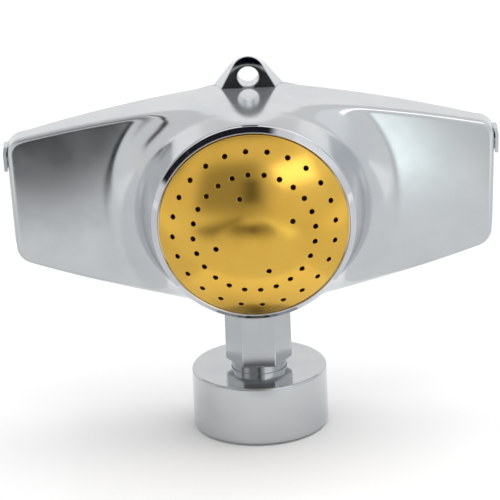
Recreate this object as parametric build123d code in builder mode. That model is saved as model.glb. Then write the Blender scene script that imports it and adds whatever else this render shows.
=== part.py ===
from build123d import *
import math
import os

# Open spray head: a hollow winged casting with a round boss, a domed spray plate in the boss, a hexagonal
# stem below it and a swivelling pipe coupling at the foot. Millimetres, +Z up, the front faces -Y.
# The origin is the centre of the coupling's lower face, on the stem's axis.

# --- Spray plate and bezel -----------------------------------------------------------------------------
plate_radius = 29.25
plate_rise = 11.0
plate_wall = 1.5
plate_rim = 1.4
plate_skirt = 6.0
plate_thread_step = 1.05
spray_hole_radius = 0.85
outer_ring_radius = 25.2
inner_ring_radius = 18.9
centre_ring_radius = 12.6
ring_holes = 24
centre_holes = 4
hole_phase = 3.9
bezel_land = 0.4
bezel_bevel = 1.6
bezel_thickness = 2.6
bezel_gasket_thickness = 0.4

# --- Winged housing ------------------------------------------------------------------------------------
body_half_width = 75.3
body_depth = 36.2
body_end_half_height = 19.9
crown_over_boss = 2.6
crown_flat = 9.0
crown_blend = 30.0
arch_rise = 1.36
end_lean = 2.6
corner_radius = 6.0
body_draft = 4.0
wing_tip_thickness = 6.0
wing_shoulder_thickness = 12.9
wing_root_thickness = 17.4
wing_shoulder = 41.0
boss_flare = 15.0
boss_fillet = 8.5
housing_wall = 2.2
boss_lip = 3.2

# --- Rear cover ----------------------------------------------------------------------------------------
cover_thickness = 1.6
cover_gasket_thickness = 0.8
cover_gasket_inset = 0.4
cover_gasket_width = 1.7
cover_rib_inset = 0.5
cover_rib_wall = 1.4
tab_height = 8.0
tab_centre = 13.3
tab_reach = 5.4
tab_thickness = 1.0

# --- Lug -----------------------------------------------------------------------------------------------
lug_thickness = 5.5
lug_height = 10.4
lug_base_half_width = 8.6
lug_crest_radius = 5.1
lug_rear_spread = 2.0
lug_rear_drop = 1.5
lug_root = 1.5
lug_hole_radius = 3.2
lug_hole_height = 3.7

# --- Water chamber -------------------------------------------------------------------------------------
chamber_mouth_wall = 1.1
chamber_seat_width = 2.1
chamber_rear_wall = 3.0
chamber_from_back = 5.5
port_wall = 2.8
plate_ring_section = 0.75

# --- Stem ----------------------------------------------------------------------------------------------
stem_to_back = 19.0
hex_flats = 18.0
hex_corner_radius = 0.8
hex_length = 17.9
hex_chamfer = 0.8
neck_radius = 8.5
neck_gap = 2.2
water_way_radius = 5.5
stem_thread_radius = 8.0
stem_thread_length = 11.3
stem_washer_thickness = 1.0
stem_seat_depth = 2.3
stem_ring_section = 0.45
stem_ring_from_end = 2.5
stem_tail_step = 1.1

# --- Swivel coupling -----------------------------------------------------------------------------------
coupling_radius = 21.0
coupling_height = 19.2
coupling_top_wall = 3.2
coupling_top_edge = 0.7
coupling_foot_edge = 1.8
pipe_thread_radius = 15.15
pipe_thread_length = 9.4
pipe_entry_chamfer = 0.8
thread_undercut = 0.5
thrust_washer_thickness = 0.8
collar_thickness = 2.6
collar_seal_section = 0.68
collar_pin_hole_radius = 1.2
collar_pin_hole_depth = 1.1
inlet_washer_thickness = 2.0
strainer_rim_radius = 10.6
strainer_rim_width = 1.2
strainer_rim_height = 1.2
strainer_lip = 1.0
strainer_sheet = 0.5
strainer_hole_radius = 0.6
strainer_pitch = 1.9

# --- Fasteners and fits --------------------------------------------------------------------------------
thread_fit = 0.03
running_fit = 0.06
slip_fit = 0.1
loose_fit = 0.3
cover_screw_radius = 1.4
cover_screw_head_radius = 2.7
cover_screw_length = 7.0
cover_post_radius = 3.6
cover_post_from_boss = 8.0
cover_post_height = 15.0
end_screw_radius = 0.8
end_screw_head_radius = 1.45
end_screw_edge = 0.4
end_screw_length = 4.2
end_block_length = 7.0
recess_width = 0.6

# --- Places that follow from the sizes above -----------------------------------------------------------
draft_slope = math.tan(math.radians(body_draft))
flare_slope = math.tan(math.radians(boss_flare))
lean = math.tan(math.radians(end_lean)) * body_end_half_height
bezel_inner = plate_radius + loose_fit
bezel_outer = bezel_inner + bezel_land + bezel_bevel
plate_thread = plate_radius - plate_thread_step
boss_front = bezel_thickness + bezel_gasket_thickness
boss_back_radius = bezel_outer + (body_depth - boss_front) * flare_slope
lip_bore = plate_thread + chamber_mouth_wall + slip_fit
chamber_front = boss_front + boss_lip
chamber_radius = bezel_outer + boss_lip * flare_slope - housing_wall - slip_fit
chamber_bore = plate_thread - chamber_seat_width
body_crown = bezel_outer + crown_over_boss
stem_seat = body_crown - stem_seat_depth
hex_corner = hex_flats / math.sqrt(3)
hex_base = coupling_height + neck_gap
hex_top = hex_base + hex_length
axis_z = hex_top + stem_washer_thickness + stem_seat
stem_top = hex_top + stem_thread_length
back_y = stem_to_back
rim_y = back_y - body_depth
joint_depth = cover_thickness + cover_gasket_thickness
lug_base_z = axis_z + body_crown - lug_thickness * draft_slope
post_x = boss_back_radius + cover_post_from_boss
tab_outer = tab_thickness + slip_fit
collar_radius = pipe_thread_radius - loose_fit
stem_tail_radius = neck_radius - stem_tail_step
collar_top = coupling_height - coupling_top_wall - thrust_washer_thickness - slip_fit
collar_base = collar_top - collar_thickness
inlet_washer_base = collar_base - inlet_washer_thickness

# On the back plane x is across the wings, y is up and z is forwards. On the rim plane z is forwards too.
back_plane = Plane(origin=(0, back_y, axis_z), x_dir=(1, 0, 0), z_dir=(0, -1, 0))
rim_plane = back_plane.offset(body_depth)
# On this plane x is the distance from the boss's axis and y the distance behind the plate's rim.
boss_section = Plane(origin=(0, rim_y, axis_z), x_dir=(1, 0, 0), z_dir=(0, 0, 1))
boss_axis = Axis((0, rim_y, axis_z), (0, 1, 0))


def body_outline(grow):
    """The housing's rear outline, grown by grow: two shallow arches that meet leaning ends."""
    top = (body_half_width + lean, body_end_half_height)
    foot = (body_half_width - lean, -body_end_half_height)
    with BuildSketch() as outline:
        with BuildLine():
            Line((0, body_crown), (crown_flat, body_crown))
            SagittaArc((crown_flat, body_crown), top, -arch_rise)
            Line(top, foot)
            SagittaArc(foot, (crown_flat, -body_crown), -arch_rise)
            Line((crown_flat, -body_crown), (0, -body_crown))
            mirror(about=Plane.YZ)
        make_face()
        fillet(outline.vertices().filter_by(lambda v: abs(v.X) > crown_flat + 1), corner_radius)
        fillet(outline.vertices().filter_by(lambda v: abs(abs(v.X) - crown_flat) < 0.01), crown_blend)
        if grow:
            offset(amount=grow, kind=Kind.ARC)
    return outline.sketch


def wing_section(step):
    """The wings seen from above, step below the skin: flat behind, and in front swelling to the boss."""
    reach = body_half_width * 1.2
    back = -body_depth / 2
    with BuildSketch(Plane(origin=(0, back_y, axis_z), x_dir=(1, 0, 0), z_dir=(0, 0, -1))) as section:
        with BuildLine():
            Spline(
                (-reach, wing_tip_thickness - step),
                (-wing_shoulder, wing_shoulder_thickness - step),
                (0, wing_root_thickness - step),
                (wing_shoulder, wing_shoulder_thickness - step),
                (reach, wing_tip_thickness - step),
                tangents=[(1, 0), (1, 0)],
            )
            Polyline(
                (reach, wing_tip_thickness - step),
                (reach, back),
                (-reach, back),
                (-reach, wing_tip_thickness - step),
            )
        make_face()
    return section.sketch


def winged_solid(step, boss_length, blend):
    """The body's solid, step below its skin, with its boss boss_length forward of the back plane."""
    with BuildPart() as wings:
        add(wing_section(step))
        extrude(amount=body_crown * 2, both=True)
        with Locations(back_plane):
            Cone(
                boss_back_radius - step,
                boss_back_radius - boss_length * flare_slope - step,
                boss_length,
                align=(Align.CENTER, Align.CENTER, Align.MIN),
            )
        if blend:
            foot = wings.edges().filter_by(lambda e: e.geom_type not in (GeomType.LINE, GeomType.CIRCLE))
            fillet(foot.filter_by(lambda e: abs((e @ 0.5).Z - axis_z) < body_crown * 1.9), blend)
        with BuildSketch(back_plane):
            add(body_outline(-step))
        extrude(amount=body_depth, taper=body_draft, mode=Mode.INTERSECT)
    return wings.part


def round_section(points):
    """The face whose corners are points on the boss's section plane."""
    with BuildSketch(boss_section) as section:
        with BuildLine():
            Polyline(*points, close=True)
        make_face()
    return section.sketch


def washer(base, height, inner, outer):
    """A flat ring about the stem's axis, from base upwards."""
    with BuildPart() as ring:
        with BuildSketch(Plane.XY.offset(base)):
            Circle(outer)
            Circle(inner, mode=Mode.SUBTRACT)
        extrude(amount=height)
    return ring.part


def flat_screws(places, head_radius, shank_radius, length):
    """Countersunk screws with a cross recess: each place has its z along the screw, from the head."""
    head_height = head_radius - shank_radius
    with BuildPart() as screws:
        with Locations(*places):
            Cone(head_radius, shank_radius, head_height, align=(Align.CENTER, Align.CENTER, Align.MIN))
            Cylinder(shank_radius, length, align=(Align.CENTER, Align.CENTER, Align.MIN))
            Box(
                head_radius * 1.2,
                recess_width,
                head_height * 1.4,
                align=(Align.CENTER, Align.CENTER, Align.CENTER),
                mode=Mode.SUBTRACT,
            )
            Box(
                recess_width,
                head_radius * 1.2,
                head_height * 1.4,
                align=(Align.CENTER, Align.CENTER, Align.CENTER),
                mode=Mode.SUBTRACT,
            )
    return screws.part


def screw_holes(places, head_radius, shank_radius, length, clearance):
    """The countersinks and holes that flat screws at places need."""
    with BuildPart() as holes:
        with Locations(*places):
            Cone(
                head_radius + clearance,
                shank_radius + clearance,
                head_radius - shank_radius,
                align=(Align.CENTER, Align.CENTER, Align.MIN),
            )
            Cylinder(shank_radius + clearance, length, align=(Align.CENTER, Align.CENTER, Align.MIN))
    return holes.part


cover_screw_places = [
    back_plane * Location((x, z, 0))
    for x in (-post_x, post_x)
    for z in (-cover_post_height, cover_post_height)
]
end_screw_x = body_half_width + lean * tab_centre / body_end_half_height + tab_outer
end_screw_y = back_y - joint_depth - end_screw_radius - end_screw_edge
end_screw_places = [
    Plane(origin=(side * end_screw_x, end_screw_y, axis_z + tab_centre), z_dir=(-side, 0, 0)).location
    for side in (-1, 1)
]

# --- Housing -------------------------------------------------------------------------------------------
with BuildPart() as cavity:
    add(winged_solid(housing_wall, body_depth - chamber_front, 0))
    with Locations(back_plane):
        Cylinder(
            chamber_radius + slip_fit,
            body_depth - chamber_front,
            align=(Align.CENTER, Align.CENTER, Align.MIN),
        )
    with Locations(*cover_screw_places):
        Cylinder(cover_post_radius, body_depth, mode=Mode.SUBTRACT)
    with Locations(*end_screw_places):
        Box(end_block_length * 2, tab_height, tab_height, mode=Mode.SUBTRACT)

with BuildPart() as housing:
    add(winged_solid(0, body_depth - boss_front, boss_fillet))
    # The lug stands on the top face, wider and lower at the back, and clears the rear cover.
    with BuildSketch(Plane(origin=(0, back_y - lug_thickness, lug_base_z), x_dir=(1, 0, 0), z_dir=(0, -1, 0))):
        with Locations((0, lug_height - lug_crest_radius)):
            Circle(lug_crest_radius)
        with Locations((0, -lug_root / 2)):
            Rectangle(lug_base_half_width * 2, lug_root)
        make_hull()
    with BuildSketch(Plane(origin=(0, back_y, lug_base_z), x_dir=(1, 0, 0), z_dir=(0, -1, 0))):
        with Locations((0, lug_height - lug_rear_drop - lug_crest_radius - lug_rear_spread)):
            Circle(lug_crest_radius + lug_rear_spread)
        with Locations((0, -lug_root / 2)):
            Rectangle((lug_base_half_width + lug_rear_spread) * 2, lug_root)
        make_hull()
    loft()
    add(cavity.part, mode=Mode.SUBTRACT)
    with Locations(rim_plane):
        Cylinder(lip_bore, chamber_front * 2, mode=Mode.SUBTRACT)
    with BuildSketch(back_plane):
        Rectangle(body_half_width * 3, (body_crown + slip_fit) * 2)
    extrude(amount=joint_depth, mode=Mode.SUBTRACT)
    with Locations(Plane(origin=(0, back_y, lug_base_z + lug_hole_height), z_dir=(0, -1, 0))):
        Cylinder(lug_hole_radius, lug_thickness * 3, mode=Mode.SUBTRACT)
    # The stem's seat below, and the hole for its thread.
    with Locations((0, 0, axis_z - stem_seat)):
        Cylinder(
            hex_corner + 1,
            body_crown,
            align=(Align.CENTER, Align.CENTER, Align.MAX),
            mode=Mode.SUBTRACT,
        )
        Cylinder(stem_thread_radius + slip_fit, housing_wall * 4, mode=Mode.SUBTRACT)
    with Locations(*cover_screw_places):
        Cylinder(
            cover_screw_radius + thread_fit,
            cover_screw_length,
            align=(Align.CENTER, Align.CENTER, Align.MIN),
            mode=Mode.SUBTRACT,
        )
    with Locations(*end_screw_places):
        Cylinder(
            end_screw_radius + thread_fit,
            end_screw_length,
            align=(Align.CENTER, Align.CENTER, Align.MIN),
            mode=Mode.SUBTRACT,
        )

# --- Rear cover and its gasket -------------------------------------------------------------------------
tab_window_x = body_half_width * 2
with BuildPart() as rear_cover:
    with BuildSketch(back_plane):
        add(body_outline(0))
    extrude(amount=cover_thickness)
    for reach, inner in ((cover_thickness, -1), (tab_reach, slip_fit)):
        with BuildSketch(back_plane):
            add(body_outline(tab_outer))
            add(body_outline(inner), mode=Mode.SUBTRACT)
            with Locations((0, tab_centre)):
                Rectangle(tab_window_x * 2, tab_height, mode=Mode.INTERSECT)
        extrude(amount=reach)
    rib_inset = housing_wall + cover_rib_inset
    with BuildSketch(back_plane.offset(cover_thickness)):
        add(body_outline(-rib_inset))
        add(body_outline(-rib_inset - cover_rib_wall), mode=Mode.SUBTRACT)
        Rectangle(
            (body_half_width - end_block_length * 2) * 2,
            body_crown * 2,
            mode=Mode.INTERSECT,
        )
    extrude(amount=wing_tip_thickness - housing_wall - cover_thickness - loose_fit)
    with BuildSketch(back_plane.offset(cover_thickness)):
        with Locations(*[(x, z) for x in (-post_x, post_x) for z in (-cover_post_height, cover_post_height)]):
            Circle(cover_post_radius)
    extrude(amount=cover_gasket_thickness)
    add(
        screw_holes(
            cover_screw_places, cover_screw_head_radius, cover_screw_radius, cover_screw_length, slip_fit
        ),
        mode=Mode.SUBTRACT,
    )
    add(
        screw_holes(end_screw_places, end_screw_head_radius, end_screw_radius, end_screw_length, slip_fit),
        mode=Mode.SUBTRACT,
    )

with BuildPart() as cover_gasket:
    with BuildSketch(back_plane.offset(cover_thickness)):
        add(body_outline(-cover_gasket_inset))
        add(body_outline(-cover_gasket_inset - cover_gasket_width), mode=Mode.SUBTRACT)
    extrude(amount=cover_gasket_thickness)

with BuildPart() as cover_screws:
    add(flat_screws(cover_screw_places, cover_screw_head_radius, cover_screw_radius, cover_screw_length))

with BuildPart() as end_screws:
    add(flat_screws(end_screw_places, end_screw_head_radius, end_screw_radius, end_screw_length))

# --- Spray plate, bezel and their seals ----------------------------------------------------------------
dome_radius = (plate_radius**2 + plate_rise**2) / (2 * plate_rise)
dome_centre = dome_radius - plate_rise
skirt_inner = plate_thread - 2 * plate_ring_section - slip_fit
inner_dome = dome_radius - plate_wall
inner_edge = dome_centre - math.sqrt(inner_dome**2 - skirt_inner**2)
half_angle = math.asin(plate_radius / dome_radius) / 2
inner_half_angle = math.asin(skirt_inner / inner_dome) / 2


def dome_point(radius, angle):
    """The point of a dome of this radius at this angle from its apex, on the boss's section plane."""
    return (radius * math.sin(angle), dome_centre - radius * math.cos(angle))


with BuildPart() as spray_plate:
    with BuildSketch(boss_section):
        with BuildLine():
            ThreePointArc(
                (0, -plate_rise), dome_point(dome_radius, half_angle), (plate_radius, 0)
            )
            Polyline(
                (plate_radius, 0),
                (plate_radius, plate_rim),
                (plate_thread, plate_rim),
                (plate_thread, plate_skirt),
                (skirt_inner, plate_skirt),
                (skirt_inner, inner_edge),
            )
            ThreePointArc(
                (skirt_inner, inner_edge),
                dome_point(inner_dome, inner_half_angle),
                (0, plate_wall - plate_rise),
            )
            Line((0, plate_wall - plate_rise), (0, -plate_rise))
        make_face()
    revolve(axis=boss_axis)
    holes = []
    rings = ((outer_ring_radius, ring_holes), (inner_ring_radius, ring_holes), (centre_ring_radius, centre_holes))
    for ring_radius, count in rings:
        for i in range(count):
            turn = math.radians(hole_phase + 360 / ring_holes + i * 360 / count)
            tilt = math.asin(ring_radius / dome_radius)
            out = Vector(
                math.sin(tilt) * math.cos(turn), -math.cos(tilt), math.sin(tilt) * math.sin(turn)
            )
            centre = Vector(0, rim_y + dome_centre, axis_z) + out * dome_radius
            holes.append(Plane(origin=centre, z_dir=out).location)
    with Locations(*holes):
        Cylinder(spray_hole_radius, plate_wall * 4, mode=Mode.SUBTRACT)

with BuildPart() as bezel_ring:
    add(
        round_section(
            [
                (plate_thread + slip_fit, plate_rim + running_fit),
                (bezel_inner, plate_rim + running_fit),
                (bezel_inner, 0),
                (bezel_inner + bezel_land, 0),
                (bezel_outer, bezel_bevel),
                (bezel_outer, bezel_thickness),
                (plate_thread + slip_fit, bezel_thickness),
            ]
        )
    )
    revolve(axis=boss_axis)

with BuildPart() as bezel_gasket:
    add(
        round_section(
            [
                (lip_bore, bezel_thickness),
                (bezel_outer - bezel_land, bezel_thickness),
                (bezel_outer - bezel_land, boss_front),
                (lip_bore, boss_front),
            ]
        )
    )
    revolve(axis=boss_axis)

plate_ring_radius = plate_thread - plate_ring_section - slip_fit / 2
with BuildPart() as plate_o_ring:
    with Locations(rim_plane.offset(-plate_skirt - plate_ring_section)):
        Torus(plate_ring_radius, plate_ring_section)

# --- Water chamber -------------------------------------------------------------------------------------
chamber_seat = plate_skirt + 2 * plate_ring_section
chamber_end = body_depth - chamber_from_back
with BuildPart() as water_chamber:
    add(
        round_section(
            [
                (0, chamber_end),
                (chamber_radius, chamber_end),
                (chamber_radius, chamber_front),
                (lip_bore - slip_fit, chamber_front),
                (lip_bore - slip_fit, boss_front),
                (plate_thread + thread_fit, boss_front),
                (plate_thread + thread_fit, chamber_seat),
                (chamber_bore, chamber_seat),
                (chamber_bore, chamber_end - chamber_rear_wall),
                (0, chamber_end - chamber_rear_wall),
            ]
        )
    )
    revolve(axis=boss_axis)
    with BuildSketch(Plane.XY.offset(axis_z - chamber_bore - chamber_seat_width / 2)):
        Circle(stem_thread_radius + port_wall)
    extrude(amount=stem_top - (axis_z - chamber_bore - chamber_seat_width / 2))
    with Locations(rim_plane):
        Cylinder(
            plate_thread + thread_fit,
            chamber_seat,
            align=(Align.CENTER, Align.CENTER, Align.MAX),
            mode=Mode.SUBTRACT,
        )
    with Locations((0, 0, stem_top)):
        Cylinder(
            stem_thread_radius + thread_fit,
            stem_thread_length * 1.5,
            align=(Align.CENTER, Align.CENTER, Align.MAX),
            mode=Mode.SUBTRACT,
        )

# --- Stem and its seals --------------------------------------------------------------------------------
stem_ring_z = stem_top - stem_ring_from_end
groove_radius = stem_thread_radius - 2 * stem_ring_section
with BuildPart() as stem:
    with BuildSketch(Plane.XY.offset(hex_base)) as hexagon:
        RegularPolygon(hex_flats / 2, 6, major_radius=False)
        fillet(hexagon.vertices(), hex_corner_radius)
    extrude(amount=hex_length)
    hex_ends = stem.faces().filter_by(Axis.Z)
    chamfer(hex_ends.edges(), hex_chamfer)
    with BuildSketch(Plane.XY.offset(hex_top)):
        Circle(stem_thread_radius)
    extrude(amount=stem_thread_length)
    with BuildSketch(Plane.XY.offset(collar_top)):
        Circle(neck_radius)
    extrude(amount=hex_base - collar_top)
    with BuildSketch(Plane.XY.offset(collar_base)):
        Circle(stem_tail_radius)
    extrude(amount=collar_top - collar_base)
    with BuildSketch(Plane.XY.offset(stem_ring_z - stem_ring_section - slip_fit)):
        Circle(stem_thread_radius * 2)
        Circle(groove_radius, mode=Mode.SUBTRACT)
    extrude(amount=2 * (stem_ring_section + slip_fit), mode=Mode.SUBTRACT)
    with Locations((0, 0, collar_base)):
        Cylinder(
            water_way_radius,
            axis_z,
            align=(Align.CENTER, Align.CENTER, Align.MIN),
            mode=Mode.SUBTRACT,
        )

with BuildPart() as stem_o_ring:
    with Locations((0, 0, stem_ring_z)):
        Torus(stem_thread_radius - stem_ring_section, stem_ring_section)

with BuildPart() as stem_washer:
    add(washer(hex_top, stem_washer_thickness, stem_thread_radius + slip_fit, hex_flats / 2))

# --- Swivel coupling -----------------------------------------------------------------------------------
ceiling = coupling_height - coupling_top_wall
thread_top = pipe_thread_length + pipe_entry_chamfer
with BuildPart() as inlet_coupling:
    with BuildSketch(Plane.XY):
        Circle(coupling_radius)
    extrude(amount=coupling_height)
    fillet(inlet_coupling.edges().group_by(Axis.Z)[-1], coupling_top_edge)
    fillet(inlet_coupling.edges().group_by(Axis.Z)[0], coupling_foot_edge)
    with BuildSketch(Plane.XY):
        Circle(pipe_thread_radius)
    extrude(amount=thread_top, mode=Mode.SUBTRACT)
    with BuildSketch(Plane.XY.offset(thread_top)):
        Circle(pipe_thread_radius + thread_undercut)
    extrude(amount=ceiling - thread_top, mode=Mode.SUBTRACT)
    Cone(
        pipe_thread_radius + pipe_entry_chamfer,
        pipe_thread_radius,
        pipe_entry_chamfer,
        align=(Align.CENTER, Align.CENTER, Align.MIN),
        mode=Mode.SUBTRACT,
    )
    with BuildSketch(Plane.XY.offset(ceiling)):
        Circle(neck_radius + running_fit)
    extrude(amount=coupling_top_wall, mode=Mode.SUBTRACT)

with BuildPart() as thrust_washer:
    add(washer(collar_top, thrust_washer_thickness, neck_radius + slip_fit, collar_radius - loose_fit))

seal_radius = stem_tail_radius + slip_fit + collar_seal_section
with BuildPart() as retaining_collar:
    add(washer(collar_base, collar_thickness, stem_tail_radius + thread_fit, collar_radius))
    with BuildSketch(Plane.XY.offset(collar_top)):
        Circle(seal_radius + collar_seal_section + slip_fit)
    extrude(amount=-2 * collar_seal_section - thread_fit, mode=Mode.SUBTRACT)
    with BuildSketch(Plane.XY.offset(collar_base)):
        with PolarLocations((collar_radius + stem_tail_radius) / 2, 2):
            Circle(collar_pin_hole_radius)
    extrude(amount=collar_pin_hole_depth, mode=Mode.SUBTRACT)

with BuildPart() as collar_seal:
    with Locations((0, 0, collar_top - collar_seal_section)):
        Torus(seal_radius, collar_seal_section)

with BuildPart() as inlet_washer:
    add(
        washer(
            inlet_washer_base,
            inlet_washer_thickness,
            strainer_rim_radius + slip_fit,
            collar_radius - slip_fit,
        )
    )

strainer_base = collar_base - strainer_rim_height
strainer_inner = strainer_rim_radius - strainer_rim_width
with BuildPart() as strainer_rim:
    with BuildSketch(Plane.XY.offset(strainer_base)):
        Circle(strainer_rim_radius)
        Circle(strainer_inner, mode=Mode.SUBTRACT)
    extrude(amount=strainer_rim_height)
    with BuildSketch(Plane.XY.offset(strainer_base)):
        Circle(strainer_inner)
        Circle(strainer_inner - strainer_lip, mode=Mode.SUBTRACT)
    extrude(amount=strainer_rim_height - strainer_sheet)

screen_radius = strainer_inner - slip_fit
hole_limit = strainer_inner - strainer_lip - strainer_hole_radius
rows = math.ceil(2 * screen_radius / strainer_pitch)
with BuildPart() as strainer_screen:
    with BuildSketch(Plane.XY.offset(strainer_base + strainer_rim_height - strainer_sheet)):
        Circle(screen_radius)
        grid = GridLocations(strainer_pitch, strainer_pitch, rows, rows)
        inside = [place for place in grid.local_locations if place.position.length < hole_limit]
        with Locations(*inside):
            Circle(strainer_hole_radius, mode=Mode.SUBTRACT)
    extrude(amount=strainer_sheet)

# --- Files ---------------------------------------------------------------------------------------------
pieces = {
    "housing": housing,
    "rear_cover": rear_cover,
    "cover_gasket": cover_gasket,
    "cover_screws": cover_screws,
    "end_screws": end_screws,
    "spray_plate": spray_plate,
    "bezel_ring": bezel_ring,
    "bezel_gasket": bezel_gasket,
    "plate_o_ring": plate_o_ring,
    "water_chamber": water_chamber,
    "stem": stem,
    "stem_o_ring": stem_o_ring,
    "stem_washer": stem_washer,
    "inlet_coupling": inlet_coupling,
    "thrust_washer": thrust_washer,
    "retaining_collar": retaining_collar,
    "collar_seal": collar_seal,
    "inlet_washer": inlet_washer,
    "strainer_rim": strainer_rim,
    "strainer_screen": strainer_screen,
}
os.makedirs("parts", exist_ok=True)
for name, piece in pieces.items():
    piece.part.label = name
    export_step(piece.part, f"parts/{name}.step")
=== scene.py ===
"""The looks of an open spray head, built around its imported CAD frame.

Every size below is in millimetres and every place is read from the frame. Pieces are made in
millimetres in the row frame (+Z up, the spray plate faces -Y) and are scaled to metres at the end.
"""

import logging
import math
from dataclasses import dataclass
from enum import Enum

import bmesh
import bpy
import numpy as np
from mathutils import Matrix, Vector

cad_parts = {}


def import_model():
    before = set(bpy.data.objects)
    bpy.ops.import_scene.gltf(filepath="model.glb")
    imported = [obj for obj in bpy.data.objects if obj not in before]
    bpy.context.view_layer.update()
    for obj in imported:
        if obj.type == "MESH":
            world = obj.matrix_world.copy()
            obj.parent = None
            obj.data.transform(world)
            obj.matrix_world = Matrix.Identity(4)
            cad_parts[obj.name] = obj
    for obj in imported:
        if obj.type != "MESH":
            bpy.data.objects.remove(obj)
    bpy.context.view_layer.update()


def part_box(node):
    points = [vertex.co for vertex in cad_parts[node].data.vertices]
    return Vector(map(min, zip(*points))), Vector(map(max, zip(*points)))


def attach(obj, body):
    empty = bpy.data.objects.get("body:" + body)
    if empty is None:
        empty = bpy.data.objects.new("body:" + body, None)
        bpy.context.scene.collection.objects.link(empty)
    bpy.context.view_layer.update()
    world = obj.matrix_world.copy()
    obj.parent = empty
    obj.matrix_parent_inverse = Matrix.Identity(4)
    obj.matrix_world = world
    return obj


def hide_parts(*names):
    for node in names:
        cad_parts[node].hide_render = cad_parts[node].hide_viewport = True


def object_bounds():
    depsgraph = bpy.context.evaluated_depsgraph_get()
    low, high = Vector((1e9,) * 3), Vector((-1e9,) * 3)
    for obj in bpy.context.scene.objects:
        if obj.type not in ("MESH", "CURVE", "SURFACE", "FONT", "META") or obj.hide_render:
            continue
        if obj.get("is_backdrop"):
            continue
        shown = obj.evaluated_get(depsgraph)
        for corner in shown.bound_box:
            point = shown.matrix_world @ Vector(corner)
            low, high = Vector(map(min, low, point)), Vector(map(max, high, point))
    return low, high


MM = 0.001
HEAD = "head"
COUPLING = "coupling"
log = logging.getLogger("spray_head")


# --- Small tools ---


def linear(hex_colour: str) -> tuple[float, float, float, float]:
    """Turns an sRGB colour into the linear one that shaders take.

    Args:
        hex_colour: Six hex digits, such as "c8ccd0".

    Returns:
        Linear red, green, blue and an alpha of one.
    """
    parts = (int(hex_colour[i : i + 2], 16) / 255 for i in (0, 2, 4))
    return (*(c / 12.92 if c <= 0.04045 else ((c + 0.055) / 1.055) ** 2.4 for c in parts), 1.0)


def add_node(
    tree: bpy.types.NodeTree,
    kind: str,
    settings: dict[str, object] | None = None,
    links: dict[str, bpy.types.NodeSocket] | None = None,
) -> bpy.types.Node:
    """Adds one node to a tree.

    Args:
        tree: The tree that gets the node.
        kind: The node's type.
        settings: Values by name: an input socket's, or else one of the node's own.
        links: Sockets that feed the node's inputs, by the input's name or number.

    Returns:
        The new node.
    """
    node = tree.nodes.new(kind)
    for name, value in (settings or {}).items():
        if name in node.inputs:
            node.inputs[name].default_value = value
        else:
            setattr(node, name, value)
    for name, socket in (links or {}).items():
        tree.links.new(socket, node.inputs[int(name) if name.isdigit() else name])
    return node


def new_material(name: str) -> tuple[bpy.types.Material, bpy.types.NodeTree]:
    """Makes a material with an empty tree.

    Args:
        name: The material's name.

    Returns:
        The material and its tree.
    """
    material = bpy.data.materials.new(name)
    material.use_nodes = True
    material.node_tree.nodes.clear()
    return material, material.node_tree


def noise(
    tree: bpy.types.NodeTree,
    vector: bpy.types.NodeSocket,
    size_mm: float,
    detail: float,
    roughness: float = 0.5,
) -> bpy.types.NodeSocket:
    """Adds a noise of a given size.

    Args:
        tree: The tree that gets it.
        vector: The coordinates it is read at.
        size_mm: Size of its patches.
        detail: How many finer layers it has.
        roughness: How strong each of them is.

    Returns:
        The socket with its value.
    """
    settings = {"Scale": 1 / (size_mm * MM), "Detail": detail, "Roughness": roughness}
    return add_node(tree, "ShaderNodeTexNoise", settings, {"Vector": vector}).outputs["Fac"]


def bump(
    tree: bpy.types.NodeTree,
    height: bpy.types.NodeSocket,
    height_mm: float,
    under: bpy.types.NodeSocket | None = None,
) -> bpy.types.NodeSocket:
    """Tilts the surface by a height pattern.

    Args:
        tree: The tree that gets it.
        height: The pattern.
        height_mm: The pattern's height.
        under: The normal that it starts from, if it isn't the mesh's own.

    Returns:
        The socket with the tilted normal.
    """
    links = {"Height": height} if under is None else {"Height": height, "Normal": under}
    settings = {"Strength": 1.0, "Distance": height_mm * MM}
    return add_node(tree, "ShaderNodeBump", settings, links).outputs["Normal"]


def two_tones(
    tree: bpy.types.NodeTree, share: bpy.types.NodeSocket, colour: str, shade: str
) -> bpy.types.NodeSocket:
    """Mixes two colours by a pattern.

    Args:
        tree: The tree that gets the mix.
        share: The second colour's share.
        colour: The first colour, as sRGB hex.
        shade: The second colour, as sRGB hex.

    Returns:
        The socket with the mixed colour.
    """
    tint = add_node(tree, "ShaderNodeMix", {"data_type": "RGBA"}, {"0": share})
    tint.inputs[6].default_value = linear(colour)
    tint.inputs[7].default_value = linear(shade)
    return tint.outputs[2]


def bevelled(
    bm: bmesh.types.BMesh, edges: list[bmesh.types.BMEdge], offset: float, segments: int = 3
) -> None:
    """Rounds some edges of a mesh.

    Args:
        bm: The mesh.
        edges: The edges.
        offset: How far the rounding reaches from them.
        segments: The number of facets across it.
    """
    bmesh.ops.bevel(
        bm,
        geom=edges,
        offset=offset,
        offset_type="OFFSET",
        affect="EDGES",
        segments=segments,
        profile=0.5,
        material=-1,
    )


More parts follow.
